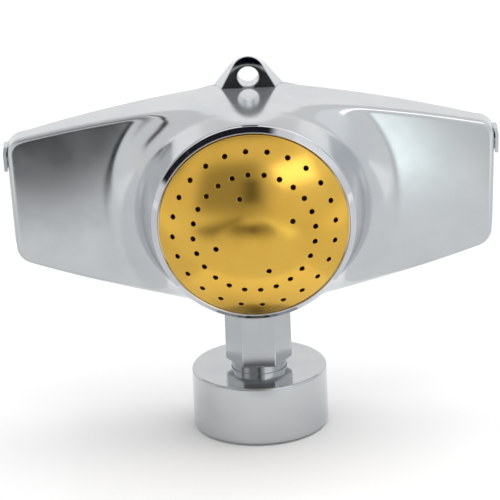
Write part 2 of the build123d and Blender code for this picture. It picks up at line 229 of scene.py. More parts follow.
def rounded(
    corners: list[tuple[float, float, float]], step: float = 12.0
) -> list[tuple[float, float]]:
    """A closed section with its corners rounded.

    Args:
        corners: Each corner's two coordinates and its radius, in order round the section.
        step: The turn of each facet of a rounded corner, in degrees.

    Returns:
        The section's points, in the same order.
    """
    points = []
    for i, (x, y, radius) in enumerate(corners):
        here = Vector((x, y))
        before = (Vector(corners[i - 1][:2]) - here).normalized()
        after = (Vector(corners[(i + 1) % len(corners)][:2]) - here).normalized()
        turn = math.pi - before.angle(after)
        if radius <= 0 or turn < 1e-3:
            points.append((x, y))
            continue
        reach = radius * math.tan(turn / 2)
        centre = here + (before + after).normalized() * (radius / math.cos(turn / 2))
        start = here + before * reach - centre
        side = 1 if before.cross(after) < 0 else -1
        count = max(1, round(math.degrees(turn) / step))
        for k in range(count + 1):
            spin = Matrix.Rotation(side * turn * k / count, 2)
            points.append(tuple(centre + spin @ start))
    return points


def spun(
    section: list[tuple[float, float]], centre: Vector, axis: Vector, steps: int, closed: bool = True
) -> bmesh.types.BMesh:
    """Spins a section round an axis.

    Args:
        section: Points as distance from the axis and distance along it, in order.
        centre: The point of the axis that the second coordinate is measured from.
        axis: The axis's direction.
        steps: The number of facets in a full turn.
        closed: Whether the last point joins the first.

    Returns:
        The spun mesh, with its seam merged and its faces turned outwards.
    """
    out = axis.orthogonal().normalized()
    bm = bmesh.new()
    verts = [bm.verts.new(centre + out * r + axis * along) for r, along in section]
    pairs = list(zip(verts, verts[1:]))
    if closed:
        pairs.append((verts[-1], verts[0]))
    edges = [bm.edges.new(pair) for pair in pairs]
    bmesh.ops.spin(
        bm,
        geom=verts + edges,
        cent=centre,
        axis=axis,
        angle=math.tau,
        steps=steps,
        use_merge=True,
        use_duplicate=False,
    )
    bmesh.ops.remove_doubles(bm, verts=bm.verts[:], dist=1e-4)
    bmesh.ops.recalc_face_normals(bm, faces=bm.faces[:])
    return bm


def made(
    bm: bmesh.types.BMesh, name: str, sharp: float = 32.0, weighted: bool = True
) -> bpy.types.Object:
    """Makes a scene object from a mesh in millimetres.

    Args:
        bm: The mesh, which is freed.
        name: The object's name.
        sharp: Edges that turn by more than this many degrees stay crisp.
        weighted: Whether large faces keep their own shading beside small ones.

    Returns:
        The object, at the origin, in metres.
    """
    bmesh.ops.scale(bm, vec=Vector((MM, MM, MM)), verts=bm.verts[:])
    limit = math.radians(sharp)
    for edge in bm.edges:
        edge.smooth = len(edge.link_faces) == 2 and edge.calc_face_angle(math.pi) < limit
    for face in bm.faces:
        face.smooth = True
    mesh = bpy.data.meshes.new(name)
    bm.to_mesh(mesh)
    bm.free()
    piece = bpy.data.objects.new(name, mesh)
    bpy.context.scene.collection.objects.link(piece)
    if weighted:
        normals = piece.modifiers.new("even_shading", "WEIGHTED_NORMAL")
        normals.keep_sharp = True
    return piece


def merged_copy(node: str, name: str, sharp: float = 25.0) -> bpy.types.Object:
    """A smooth-shaded copy of a CAD node's mesh.

    Args:
        node: The CAD node.
        name: The copy's name.
        sharp: Edges that turn by more than this many degrees stay crisp.

    Returns:
        The copy, at the origin.
    """
    bm = bmesh.new()
    bm.from_mesh(bpy.data.objects[node].data)
    bmesh.ops.scale(bm, vec=Vector((1 / MM, 1 / MM, 1 / MM)), verts=bm.verts[:])
    bmesh.ops.remove_doubles(bm, verts=bm.verts[:], dist=1e-3)
    return made(bm, name, sharp)


def picked(geom: list, kind: type) -> list:
    """The elements of one kind among what a mesh operator gives back."""
    return [element for element in geom if isinstance(element, kind)]


def dress(piece: bpy.types.Object, material: bpy.types.Material) -> None:
    """Gives a piece one material on all its faces."""
    piece.data.materials.clear()
    piece.data.materials.append(material)


def place(
    piece: bpy.types.Object, body: str, slot: str, material: bpy.types.Material, *nodes: str
) -> bpy.types.Object:
    """Finishes a piece: its material, its body and the CAD nodes that it stands for.

    Args:
        piece: The piece.
        body: The CAD body it moves with.
        slot: The record's material slot; not used.
        material: Its finish.
        *nodes: The CAD nodes that it replaces.

    Returns:
        The piece.
    """
    dress(piece, material)
    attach(piece, body)
    if nodes:
        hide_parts(*nodes)
    log.info("%s: %d faces on %s", piece.name, len(piece.data.polygons), body)
    return piece


# --- Finishes ---

# The part of a noise's range over which a surface goes from clean to smudged.
SMUDGE_SPAN = (0.35, 0.75)
# Drawn marks run along the stem: the pattern's scale that way, as a share of its scale across.
DRAWN_SHARE = 0.05


class Lay(Enum):
    """The way the fine marks of a finish run."""

    CLOUDY = "cloudy"
    ROUND_Y = "round the boss's axis"
    ROUND_Z = "round the stem's axis"
    ALONG_Z = "along the stem"


@dataclass(frozen=True)
class MetalFinish:
    """A metal surface, with the uneven sheen and the marks that its making leaves.

    Attributes:
        name: The material's name.
        colour: The colour at its brightest, as sRGB hex.
        shade: The colour where it is a little duller, as sRGB hex.
        roughness: Roughness of the clean surface.
        smudge: How much rougher the handled patches are.
        smudge_mm: Size of those patches.
        wave_mm: Size of the slow waves left by polishing.
        wave_height_mm: Height of those waves.
        mark_mm: Spacing of the fine marks, drawn as coarse as they need to be to show.
        mark_height_mm: Height of the fine marks.
        lay: The way the marks run.
        anisotropy: Stretch of the highlight across the marks.
        centre: The middle that round marks run about, in millimetres.
    """

    name: str
    colour: str
    shade: str
    roughness: float
    smudge: float = 0.05
    smudge_mm: float = 14.0
    wave_mm: float = 9.0
    wave_height_mm: float = 0.004
    mark_mm: float = 0.4
    mark_height_mm: float = 0.0006
    lay: Lay = Lay.CLOUDY
    anisotropy: float = 0.0
    centre: tuple[float, float, float] = (0.0, 0.0, 0.0)

    def build(self) -> bpy.types.Material:
        """Makes the material.

        Returns:
            The material.
        """
        material, tree = new_material(self.name)
        coordinates = add_node(tree, "ShaderNodeTexCoord").outputs["Object"]
        centred = add_node(
            tree,
            "ShaderNodeMapping",
            {"Location": tuple(-c * MM for c in self.centre)},
            {"Vector": coordinates},
        ).outputs["Vector"]
        smudged = add_node(
            tree,
            "ShaderNodeMapRange",
            {"From Min": SMUDGE_SPAN[0], "From Max": SMUDGE_SPAN[1]},
            {"Value": noise(tree, centred, self.smudge_mm, 4.0, 0.55)},
        ).outputs[0]
        rough = add_node(
            tree, "ShaderNodeMath", {"operation": "MULTIPLY_ADD", "use_clamp": True}, {"0": smudged}
        )
        rough.inputs[1].default_value = self.smudge
        rough.inputs[2].default_value = self.roughness
        slow = bump(tree, noise(tree, centred, self.wave_mm, 1.0, 0.4), self.wave_height_mm)
        links = {
            "Base Color": two_tones(tree, smudged, self.colour, self.shade),
            "Roughness": rough.outputs[0],
            "Normal": bump(tree, self.marks(tree, centred), self.mark_height_mm, slow),
        }
        settings = {"Metallic": 1.0}
        if self.anisotropy:
            settings["Anisotropic"] = self.anisotropy
            axis = "Z" if self.lay is Lay.ROUND_Z else "Y"
            tangent = add_node(tree, "ShaderNodeTangent", {"direction_type": "RADIAL", "axis": axis})
            links["Tangent"] = tangent.outputs["Tangent"]
        shader = add_node(tree, "ShaderNodeBsdfPrincipled", settings, links)
        add_node(tree, "ShaderNodeOutputMaterial", links={"Surface": shader.outputs["BSDF"]})
        return material

    def marks(
        self, tree: bpy.types.NodeTree, centred: bpy.types.NodeSocket
    ) -> bpy.types.NodeSocket:
        """Draws the fine marks of the finish.

        Args:
            tree: The material's tree.
            centred: Coordinates about the finish's centre.

        Returns:
            The socket with the marks' height.
        """
        if self.lay in (Lay.ROUND_Y, Lay.ROUND_Z):
            direction = "Y" if self.lay is Lay.ROUND_Y else "Z"
            return add_node(
                tree,
                "ShaderNodeTexWave",
                {
                    "wave_type": "RINGS",
                    "rings_direction": direction,
                    "Scale": 1 / (self.mark_mm * MM * math.tau),
                    "Distortion": 1.2,
                    "Detail": 2.0,
                    "Detail Scale": 0.4,
                },
                {"Vector": centred},
            ).outputs["Fac"]
        stretch = (1, 1, DRAWN_SHARE) if self.lay is Lay.ALONG_Z else (1, 1, 1)
        stretched = add_node(
            tree, "ShaderNodeMapping", {"Scale": stretch}, {"Vector": centred}
        ).outputs["Vector"]
        return noise(tree, stretched, self.mark_mm, 3.0, 0.6)


@dataclass(frozen=True)
class PlainFinish:
    """A rubber, plastic or fibre surface.

    Attributes:
        name: The material's name.
        colour: Its colour, as sRGB hex.
        shade: A second tone of it, as sRGB hex.
        roughness: Its roughness.
        grain_mm: Size of its grain.
        grain_height_mm: Height of its grain.
        ior: Its index of refraction.
    """

    name: str
    colour: str
    shade: str
    roughness: float
    grain_mm: float
    grain_height_mm: float
    ior: float = 1.5

    def build(self) -> bpy.types.Material:
        """Makes the material.

        Returns:
            The material.
        """
        material, tree = new_material(self.name)
        coordinates = add_node(tree, "ShaderNodeTexCoord").outputs["Object"]
        grain = noise(tree, coordinates, self.grain_mm, 4.0)
        links = {
            "Base Color": two_tones(tree, grain, self.colour, self.shade),
            "Normal": bump(tree, grain, self.grain_height_mm),
        }
        settings = {"Roughness": self.roughness, "IOR": self.ior}
        shader = add_node(tree, "ShaderNodeBsdfPrincipled", settings, links)
        add_node(tree, "ShaderNodeOutputMaterial", links={"Surface": shader.outputs["BSDF"]})
        return material


# --- Places ---


@dataclass(frozen=True)
class Datum:
    """The places that the pieces share, in millimetres.

    Attributes:
        axis_z: Height of the boss's axis.
        rim_y: Plane of the spray plate's rim.
        back_y: Back plane of the rear cover.
        coupling_top: Height of the coupling's top face.
    """

    axis_z: float
    rim_y: float
    back_y: float
    coupling_top: float

    @classmethod
    def read(cls) -> "Datum":
        """Reads the places from the frame.

        Returns:
            The places.
        """
        plate_low, plate_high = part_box("spray_plate")
        return cls(
            axis_z=(plate_low.z + plate_high.z) / 2 / MM,
            rim_y=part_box("bezel_ring")[0].y / MM,
            back_y=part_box("rear_cover")[1].y / MM,
            coupling_top=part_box("inlet_coupling")[1].z / MM,
        )

    @property
    def boss(self) -> Vector:
        """The point of the boss's axis in the rim's plane."""
        return Vector((0, self.rim_y, self.axis_z))


BACKWARDS = Vector((0, 1, 0))
UP = Vector((0, 0, 1))


# --- Housing ---


# Distances of the skin's rows from the outer edge and from the boss's rim, in millimetres: close
# together where the skin curves most, and never more than these shares of a short face.
EDGE_ROWS = (0, 0.25, 0.5, 0.8, 1.2, 1.7, 2.3, 3.0)
RIM_ROWS = (0.0, 0.12, 0.25, 0.4, 0.7, 1.1)
EDGE_SHARE, RIM_SHARE = 0.4, 0.3
# Rows across the front, the side and the land in the boss, and points that each ray is tried at.
FRONT_ROWS, SIDE_ROWS, LAND_ROWS, RAY_POINTS = 50, 10, 5, 700
# Rounds of settling the skin on the rounded casting, and a round's longest step in millimetres.
SETTLE_ROUNDS, SETTLE_STEP = 16, 0.4
# Halvings of the depth that find the front face.
HALVINGS = 30
# Points of the path beside a corner that its rounding may take up, and points along the rounding.
CORNER_REACH, CORNER_POINTS = 400, 24
# How many of the outline's pieces on each side of a column are looked at.
NEAR_PIECES = 12
# Points per millimetre of the outline's first drawing.
LINE_DENSITY = 5
# What counts as the same point, in millimetres.
SAME = 1e-6


@dataclass
class Housing:
    """The chromed casting: a round boss between two wings, and a lug on its top face.

    Attributes:
        datum: The shared places.
        half_width: Half the width across the wing ends, at the axis's height.
        end_half_height: Half the height of a wing's end.
        crown: Height of the outline's middle above the axis.
        crown_flat: Half the length of the outline's straight middle.
        arch_rise: Rise of each wing's long edge above a straight line.
        end_lean: Lean of the wing ends, in degrees.
        corner_radius: Radius of the outline's corners.
        crown_blend: Radius where the straight middle meets the arches.
        draft: Draft of the side walls, in degrees.
        thickness: The wings' thickness: distance from the middle, and thickness there.
        end_slope: How fast the wings thin at their ends.
        boss_front: Depth of the boss's front face behind the rim.
        boss_radius: The boss's radius there.
        boss_back_radius: Its radius in the back plane.
        boss_bore: Radius of its opening.
        boss_fillet: Radius where it meets the wings.
        edge_radius: Rounding of the wings' front edge.
        soft_radius: How much larger that rounding is over the boss, where the angle is shallow.
        rim_radius: Rounding of the boss's front edge.
        joint_depth: Depth of the joint with the rear cover.
        wall: Thickness of the visible shell.
        columns: Number of facets round the casting.
    """

    datum: Datum
    half_width: float = 75.3
    end_half_height: float = 19.9
    crown: float = 34.15
    crown_flat: float = 9.0
    arch_rise: float = 1.36
    end_lean: float = 2.6
    corner_radius: float = 6.0
    crown_blend: float = 30.0
    draft: float = 4.0
    thickness: tuple[tuple[float, float], ...] = (
        (-76.0, 7.1),
        (-41.0, 12.9),
        (0.0, 17.4),
        (41.0, 12.9),
        (76.0, 7.1),
    )
    end_slope: float = 0.165
    boss_front: float = 33.2
    boss_radius: float = 31.55
    boss_back_radius: float = 40.446
    boss_bore: float = 29.4
    boss_fillet: float = 8.5
    edge_radius: float = 1.5
    soft_radius: float = 26.0
    rim_radius: float = 0.5
    joint_depth: float = 2.4
    wall: float = 1.2
    columns: int = 400

    def outline(self) -> np.ndarray:
        """The outline in the back plane.

        Returns:
            Evenly spaced points, x and height above the axis, once round.
        """
        lean = math.tan(math.radians(self.end_lean)) * self.end_half_height
        top = np.array((self.half_width + lean, self.end_half_height))
        foot = np.array((self.half_width - lean, -self.end_half_height))
        crown_top = np.array((self.crown_flat, self.crown))
        crown_foot = np.array((self.crown_flat, -self.crown))
        side = [
            *self.line((0, self.crown), crown_top),
            *self.arch(crown_top, top),
            *self.line(top, foot),
            *self.arch(foot, crown_foot),
            *self.line(crown_foot, (0, -self.crown)),
        ]
        right = np.array(side)
        for corner, radius in (
            (crown_top, self.crown_blend),
            (top, self.corner_radius),
            (foot, self.corner_radius),
            (crown_foot, self.crown_blend),
        ):
            right = self.blend(right, corner, radius)
        ring = np.vstack([right, (right * (-1, 1))[::-1]])
        keep = np.linalg.norm(ring - np.roll(ring, 1, axis=0), axis=1) > SAME
        ring = ring[keep]
        closed = np.vstack([ring, ring[:1]])
        run = np.concatenate([[0], np.cumsum(np.linalg.norm(np.diff(closed, axis=0), axis=1))])
        even = np.linspace(0, run[-1], self.columns, endpoint=False)
        return np.stack([np.interp(even, run, closed[:, k]) for k in (0, 1)], axis=1)

    @staticmethod
    def line(start: tuple[float, float], end: tuple[float, float]) -> np.ndarray:
        """Points along a straight run.

        Args:
            start: One end.
            end: The other end.

        Returns:
            The run's points.
        """
        start, end = np.array(start, float), np.array(end, float)
        count = max(2, int(np.linalg.norm(end - start) * LINE_DENSITY))
        return start + (end - start) * np.linspace(0, 1, count)[:, None]

    def arch(self, start: np.ndarray, end: np.ndarray) -> np.ndarray:
        """Points along a shallow arch that rises outwards.

        Args:
            start: One end.
            end: The other end.

        Returns:
            The arch's points.
        """
        straight = self.line(start, end)
        along = (end - start) / np.linalg.norm(end - start)
        out = np.array((-along[1], along[0]))
        share = np.linspace(-1, 1, len(straight))
        return straight + out * (self.arch_rise * (1 - share**2))[:, None]

    @staticmethod
    def blend(path: np.ndarray, corner: np.ndarray, radius: float) -> np.ndarray:
        """Rounds one corner of a path.

        Args:
            path: The path's points.
            corner: The corner, which is one of them.
            radius: The rounding's radius.

        Returns:
            The path with the corner rounded.
        """
        at = np.flatnonzero(np.linalg.norm(path - corner, axis=1) < SAME)
        first, last = at[0], at[-1]
        before = path[first] - path[first - 1]
        after = path[last + 1] - path[last]
        before, after = before / np.linalg.norm(before), after / np.linalg.norm(after)
        turn = math.acos(float(np.clip(before @ after, -1, 1)))
        reach = radius * math.tan(turn / 2)
        away = np.linalg.norm(path - corner, axis=1)
        index = np.arange(len(path))
        head = path[(index < first) & ~((away < reach) & (first - index < CORNER_REACH))]
        tail = path[(index > last) & ~((away < reach) & (index - last < CORNER_REACH))]
        start, end = corner - before * reach, corner + after * reach
        inward = (after - before) / np.linalg.norm(after - before)
        centre = corner + inward * radius / math.cos(turn / 2)
        angles = [math.atan2(*(p - centre)[::-1]) for p in (start, end)]
        sweep = (angles[1] - angles[0] + math.pi) % math.tau - math.pi
        arc = angles[0] + sweep * np.linspace(0, 1, CORNER_POINTS)
        rounding = centre + radius * np.stack([np.cos(arc), np.sin(arc)], axis=1)
        return np.vstack([head, rounding, tail])

    def wing(self, x: np.ndarray) -> tuple[np.ndarray, np.ndarray]:
        """The wings' thickness and its slope, as a smooth curve through the stated ones.

        Args:
            x: Distances from the middle.

        Returns:
            The thickness and its slope.
        """
        knots, values = (np.array(v) for v in zip(*self.thickness))
        gaps, rises = np.diff(knots), np.diff(values) / np.diff(knots)
        system = np.eye(len(knots))
        right = np.zeros(len(knots))
        right[0], right[-1] = self.end_slope, -self.end_slope
        for i in range(1, len(knots) - 1):
            system[i, i - 1] = gaps[i]
            system[i, i] = 2 * (gaps[i - 1] + gaps[i])
            system[i, i + 1] = gaps[i - 1]
            right[i] = 3 * (gaps[i] * rises[i - 1] + gaps[i - 1] * rises[i])
        slopes = np.linalg.solve(system, right)
        i = np.clip(np.searchsorted(knots, x) - 1, 0, len(gaps) - 1)
        gap, t = gaps[i], (x - knots[i]) / gaps[i]
        bend = 3 * rises[i] - 2 * slopes[i] - slopes[i + 1]
        twist = slopes[i] + slopes[i + 1] - 2 * rises[i]
        value = values[i] + gap * t * (slopes[i] + t * (bend + t * twist))
        return value, slopes[i] + t * (2 * bend + 3 * t * twist)

    def start(self, ring: np.ndarray) -> np.ndarray:
        """First places of the skin's points, on the casting with its edges still sharp.

        Args:
            ring: The outline.

        Returns:
            Points by column and row, as x, depth in front of the back plane, and height above the axis.
        """
        pull = math.tan(math.radians(self.draft))
        normal = np.roll(ring, -1, axis=0) - np.roll(ring, 1, axis=0)
        normal = np.stack([-normal[:, 1], normal[:, 0]], axis=1)
        normal /= np.linalg.norm(normal, axis=1)[:, None]
        near, rim = np.array(EDGE_ROWS), np.array(RIM_ROWS)
        columns = []
        for point, out in zip(ring, normal):
            radius = float(np.linalg.norm(point))
            way = point / radius
            lost = pull / abs(float(out @ way))
            r = np.linspace(self.boss_radius, radius, RAY_POINTS)
            depth = self.front(r * way[0], r * way[1])
            over = r - (radius - depth * lost)
            last = int(np.argmax(over >= 0))
            share = -over[last - 1] / (over[last] - over[last - 1]) if last else 0.0
            edge_r = r[last - 1] + share * (r[last] - r[last - 1])
            edge_depth = depth[last - 1] + share * (depth[last] - depth[last - 1])
            r, depth = np.append(r[:last], edge_r), np.append(depth[:last], edge_depth)
            run = np.concatenate([[0], np.cumsum(np.hypot(np.diff(r), np.diff(depth)))])
            front_rim = rim * min(1, RIM_SHARE * run[-1] / rim[-1])
            front_edge = run[-1] - near[::-1] * min(1, EDGE_SHARE * run[-1] / near[-1])
            middle = np.linspace(front_rim[-1], front_edge[0], FRONT_ROWS)[1:-1]
            front = np.concatenate([front_rim, middle, front_edge])
            wall = edge_depth - self.joint_depth
            side_edge = near[1:] * min(1, EDGE_SHARE * wall / near[-1])
            side_rest = np.linspace(side_edge[-1], wall, SIDE_ROWS)[1:]
            side = edge_depth - np.concatenate([side_edge, side_rest])
            land = np.linspace(self.boss_bore, self.boss_radius, LAND_ROWS)[:-1]
            all_r = np.concatenate([land, np.interp(front, run, r), radius - side * lost])
            flat = np.full_like(land, self.boss_front)
            all_depth = np.concatenate([flat, np.interp(front, run, depth), side])
            columns.append(np.stack([all_r * way[0], all_depth, all_r * way[1]], axis=1))
        return np.array(columns)

    def front(self, x: np.ndarray, height: np.ndarray) -> np.ndarray:
        """Depth of the front face in front of the back plane.

        Args:
            x: Distances from the middle.
            height: Heights above the axis.

        Returns:
            The depths.
        """
        low, high = np.zeros_like(x), np.full_like(x, self.boss_front)
        for _ in range(HALVINGS):
            middle = (low + high) / 2
            within = self.filled(np.stack([x, middle, height], -1))[0] < 0
            low, high = np.where(within, middle, low), np.where(within, high, middle)
        return (low + high) / 2

    def filled(self, points: np.ndarray) -> tuple[np.ndarray, np.ndarray]:
        """How far points are outside the wings and the boss, joined by their fillet.

        Args:
            points: Points as x, depth and height.

        Returns:
            The distance outside, negative within, and its gradient.
        """
        x, depth, height = np.moveaxis(points, -1, 0)
        thick, slope = self.wing(x)
        steep = np.sqrt(1 + slope**2)
        slab = (depth - thick) / steep
        slab_way = np.stack([-slope, np.ones_like(x), np.zeros_like(x)], -1) / steep[..., None]
        flare = (self.boss_back_radius - self.boss_radius) / self.boss_front
        away = np.hypot(x, height)
        cosine = math.cos(math.atan(flare))
        cone = (away + flare * depth - self.boss_back_radius) * cosine
        cone_way = np.stack([x / away, np.full_like(x, flare), height / away], -1) * cosine
        return self.join(slab, slab_way, cone, cone_way, self.boss_fillet)

    def inside(self, points: np.ndarray, ring: np.ndarray) -> tuple[np.ndarray, np.ndarray]:
        """How far points are outside the rounded casting, and the way out.

        Args:
            points: Points by column and row.
            ring: The outline.

        Returns:
            The distance outside, negative within, and its gradient.
        """
        depth = points[..., 1]
        body = self.filled(points)
        pull = math.tan(math.radians(self.draft))
        edge, edge_out = self.beyond(points, ring)
        side = (edge + depth * pull) * math.cos(math.radians(self.draft))
        side_way = np.stack([edge_out[..., 0], np.full_like(depth, pull), edge_out[..., 1]], -1)
        side_way = side_way * math.cos(math.radians(self.draft))
        body = self.cut(*body, side, side_way, self.edge_radius, self.soft_radius)
        front_way = np.zeros_like(points)
        front_way[..., 1] = 1
        return self.cut(*body, depth - self.boss_front, front_way, self.rim_radius)

    @staticmethod
    def join(
        a: np.ndarray, a_way: np.ndarray, b: np.ndarray, b_way: np.ndarray, radius: float
    ) -> tuple[np.ndarray, np.ndarray]:
        """Joins two solids with a fillet between them.

        Args:
            a: Distance outside one solid.
            a_way: Its gradient.
            b: Distance outside the other.
            b_way: Its gradient.
            radius: The fillet's radius.

        Returns:
            The distance outside both, and its gradient.
        """
        u, w = np.maximum(radius - a, 0), np.maximum(radius - b, 0)
        length = np.maximum(np.hypot(u, w), 1e-9)
        nearer = np.minimum(a, b)
        value = np.maximum(radius, nearer) - np.hypot(u, w)
        way = (u[..., None] * a_way + w[..., None] * b_way) / length[..., None]
        plain = np.where((a < b)[..., None], a_way, b_way)
        return value, np.where((nearer > radius)[..., None], plain, way)

    @staticmethod
    def cut(
        a: np.ndarray,
        a_way: np.ndarray,
        b: np.ndarray,
        b_way: np.ndarray,
        radius: float,
        soft: float = 0.0,
    ) -> tuple[np.ndarray, np.ndarray]:
        """Keeps what two solids share, with a rounded edge.

        Args:
            a: Distance outside one solid.
            a_way: Its gradient.
            b: Distance outside the other.
            b_way: Its gradient.
            radius: The edge's radius where they meet squarely.
            soft: How much larger it grows where they meet at a shallow angle.

        Returns:
            The distance outside their common part, and its gradient.
        """
        likeness = (a_way * b_way).sum(-1)
        radius = radius + soft * np.clip(likeness, 0, 1) ** 3
        band = np.maximum(radius * (1 - likeness), 1e-6)
        share = np.clip(0.5 + 0.5 * (a - b) / band, 0, 1)
        value = share * a + (1 - share) * b + band * share * (1 - share)
        return value, share[..., None] * a_way + (1 - share[..., None]) * b_way

    @staticmethod
    def beyond(points: np.ndarray, ring: np.ndarray) -> tuple[np.ndarray, np.ndarray]:
        """How far points are beyond the outline, looking only along the part near their own column.

        Args:
            points: Points by column and row.
            ring: The outline.

        Returns:
            The distance beyond it, negative inside, and the way out.
        """
        flat = points[..., (0, 2)]
        count = len(ring)
        best = np.full(flat.shape[:2], np.inf)
        signed = np.zeros_like(best)
        way = np.zeros_like(flat)
        for k in range(-NEAR_PIECES, NEAR_PIECES):
            start = ring[(np.arange(count) + k) % count][:, None, :]
            end = ring[(np.arange(count) + k + 1) % count][:, None, :]
            along = end - start
            share = ((flat - start) * along).sum(-1) / (along**2).sum(-1)
            gap = flat - (start + np.clip(share, 0, 1)[..., None] * along)
            distance = np.linalg.norm(gap, axis=-1)
            out = np.stack([-along[..., 1], along[..., 0]], -1)
            out = out / np.linalg.norm(out, axis=-1)[..., None]
            sign = np.where((gap * out).sum(-1) >= 0, 1.0, -1.0)
            nearer = distance < best
            best = np.where(nearer, distance, best)
            signed = np.where(nearer, distance * sign, signed)
            way = np.where(nearer[..., None], np.broadcast_to(out, way.shape), way)
        return signed, way

    def skin(self) -> bmesh.types.BMesh:
        """Builds the casting's skin, open at the boss and at the back.

        Returns:
            The skin's mesh.
        """
        ring = self.outline()
        points = self.start(ring)
        for _ in range(SETTLE_ROUNDS):
            value, way = self.inside(points, ring)
            points = points - np.clip(value, -SETTLE_STEP, SETTLE_STEP)[..., None] * way
        points[:, -1, 1] = self.joint_depth
        columns, rows = points.shape[:2]
        places = np.stack(
            [points[..., 0], self.datum.back_y - points[..., 1], self.datum.axis_z + points[..., 2]], -1
        )
        places = np.concatenate([places, places[:1]])
        bm = bmesh.new()
        bmesh.ops.create_grid(bm, x_segments=columns, y_segments=rows - 1, size=1.0)
        bm.verts.ensure_lookup_table()
        for vert in bm.verts:
            column = round((vert.co.x + 1) / 2 * columns)
            row = round((vert.co.y + 1) / 2 * (rows - 1))
            vert.co = places[column, row]
        bmesh.ops.remove_doubles(bm, verts=bm.verts[:], dist=1e-4)
        bmesh.ops.recalc_face_normals(bm, faces=bm.faces[:])
        bm.faces.ensure_lookup_table()
        bm.normal_update()
        top = max(bm.faces, key=lambda f: f.calc_center_median().z)
        if top.normal.z < 0:
            bmesh.ops.reverse_faces(bm, faces=bm.faces[:])
        return bm

    def build(self, chrome: bpy.types.Material, bright: bpy.types.Material) -> None:
        """Builds the casting and its lug.

        Args:
            chrome: The casting's finish.
            bright: The lug's finish.
        """
        shell = made(self.skin(), "housing_shell", 40, False)
        place(shell, HEAD, "housing_chrome", chrome, "housing")
        thickness = shell.modifiers.new("thickness", "SOLIDIFY")
        thickness.thickness = self.wall * MM
        thickness.offset = -1
        place(Lug(self.datum, self.crown, self.draft).build(), HEAD, "housing_chrome", bright)


# The lug stops this far in front of the rear cover's back plane, in millimetres.
LUG_CLEAR = 0.05
# Edges of the lug that turn by more than this many degrees are rounded.
LUG_EDGE = 50


@dataclass
class Lug:
    """The lug on the casting's top face, with light draft from its low back to its high front.

    Attributes:
        datum: The shared places.
        crown: Height of the casting's top edge above the axis, at the back.
        draft: Draft of the casting's walls, in degrees.
        thickness: The lug's thickness.
        height: Height of its front.
        base_half_width: Half its width at the base.
        crest_radius: Radius of its crest.
        rear_spread: How much wider its back is.
        rear_drop: How much lower its back is.
        root: How deep it stands in the casting.
        hole_radius: Radius of its hole.
        hole_height: Height of the hole above the casting.
        edge_radius: Rounding of its edges.
        facets: Number of facets round the outline and the hole.
    """

    datum: Datum
    crown: float
    draft: float
    thickness: float = 5.5
    height: float = 10.4
    base_half_width: float = 8.6
    crest_radius: float = 5.1
    rear_spread: float = 2.0
    rear_drop: float = 1.5
    root: float = 1.0
    hole_radius: float = 3.2
    hole_height: float = 3.7
    edge_radius: float = 0.3
    facets: int = 96

    def outline(self, half_width: float, crest: float, height: float) -> list[tuple[float, float]]:
        """One face's outline, as rays from the hole's middle.

        Args:
            half_width: Half the width at the base.
            crest: The crest's radius.
            height: The crest's height.

        Returns:
            Points across and up, once round.
        """
        centre_up = height - crest
        span = math.hypot(half_width, centre_up)
        touch = math.acos(crest / span) - math.atan2(centre_up, half_width)
        hull = [(half_width, -self.root), (half_width, 0.0)]
        steps = self.facets // 2
        for k in range(steps + 1):
            angle = touch + (math.pi - 2 * touch) * k / steps
            hull.append((crest * math.cos(angle), centre_up + crest * math.sin(angle)))
        hull += [(-half_width, 0.0), (-half_width, -self.root)]
        closed = np.array([*hull, hull[0]])
        middle = np.array((0, self.hole_height))
        points = []
        for k in range(self.facets):
            angle = math.tau * k / self.facets
            ray = np.array((math.cos(angle), math.sin(angle)))
            side = (closed - middle) @ np.array((-ray[1], ray[0]))
            ahead = (closed - middle) @ ray
            best = 0.0
            for i in range(len(hull)):
                if side[i] * side[i + 1] <= 0 and side[i] != side[i + 1]:
                    share = side[i] / (side[i] - side[i + 1])
                    best = max(best, ahead[i] + share * (ahead[i + 1] - ahead[i]))
            points.append(tuple(middle + ray * best))
        return points

    def build(self) -> bpy.types.Object:
        """Builds the lug.

        Returns:
            The lug.
        """
        base = self.datum.axis_z + self.crown - self.thickness * math.tan(math.radians(self.draft))
        bm = bmesh.new()
        hole = [
            (self.hole_radius * math.cos(a), self.hole_height + self.hole_radius * math.sin(a))
            for a in (math.tau * k / self.facets for k in range(self.facets))
        ]
        front = self.outline(self.base_half_width, self.crest_radius, self.height)
        rear = self.outline(
            self.base_half_width + self.rear_spread,
            self.crest_radius + self.rear_spread,
            self.height - self.rear_drop,
        )
        back = LUG_CLEAR
        faces = [(front, self.thickness), (rear, back), (hole, back), (hole, self.thickness)]
        verts = [bm.verts.new(self.at(point, base, self.thickness)) for point in front]
        edges = [bm.edges.new((verts[i - 1], verts[i])) for i in range(len(verts))]
        order = {vert: k for k, vert in enumerate(verts)}
        for points, depth in faces[1:] + faces[:1]:
            grown = bmesh.ops.extrude_edge_only(bm, edges=edges)["geom"]
            moved = {}
            for vert in picked(grown, bmesh.types.BMVert):
                beside = (edge.other_vert(vert) for edge in vert.link_edges)
                moved[vert] = next(order[other] for other in beside if other in order)
            for vert, k in moved.items():
                vert.co = self.at(points[k], base, depth)
            edges = [e for e in picked(grown, bmesh.types.BMEdge) if set(e.verts) <= set(moved)]
            order = moved
        bmesh.ops.remove_doubles(bm, verts=bm.verts[:], dist=1e-4)
        bmesh.ops.recalc_face_normals(bm, faces=bm.faces[:])
        sharp = [e for e in bm.edges if e.calc_face_angle(0) > math.radians(LUG_EDGE)]
        bevelled(bm, sharp, self.edge_radius)
        return made(bm, "lug", 30)

    def at(self, point: tuple[float, float], base: float, depth: float) -> Vector:
        """The place of a point of the lug's outline at a depth."""
        return Vector((point[0], self.datum.back_y - depth, base + point[1]))


# --- Spray plate and bezel ---


# A face whose normal agrees this well with the sphere's belongs to the dome and not to a hole.
ON_SPHERE = 0.985


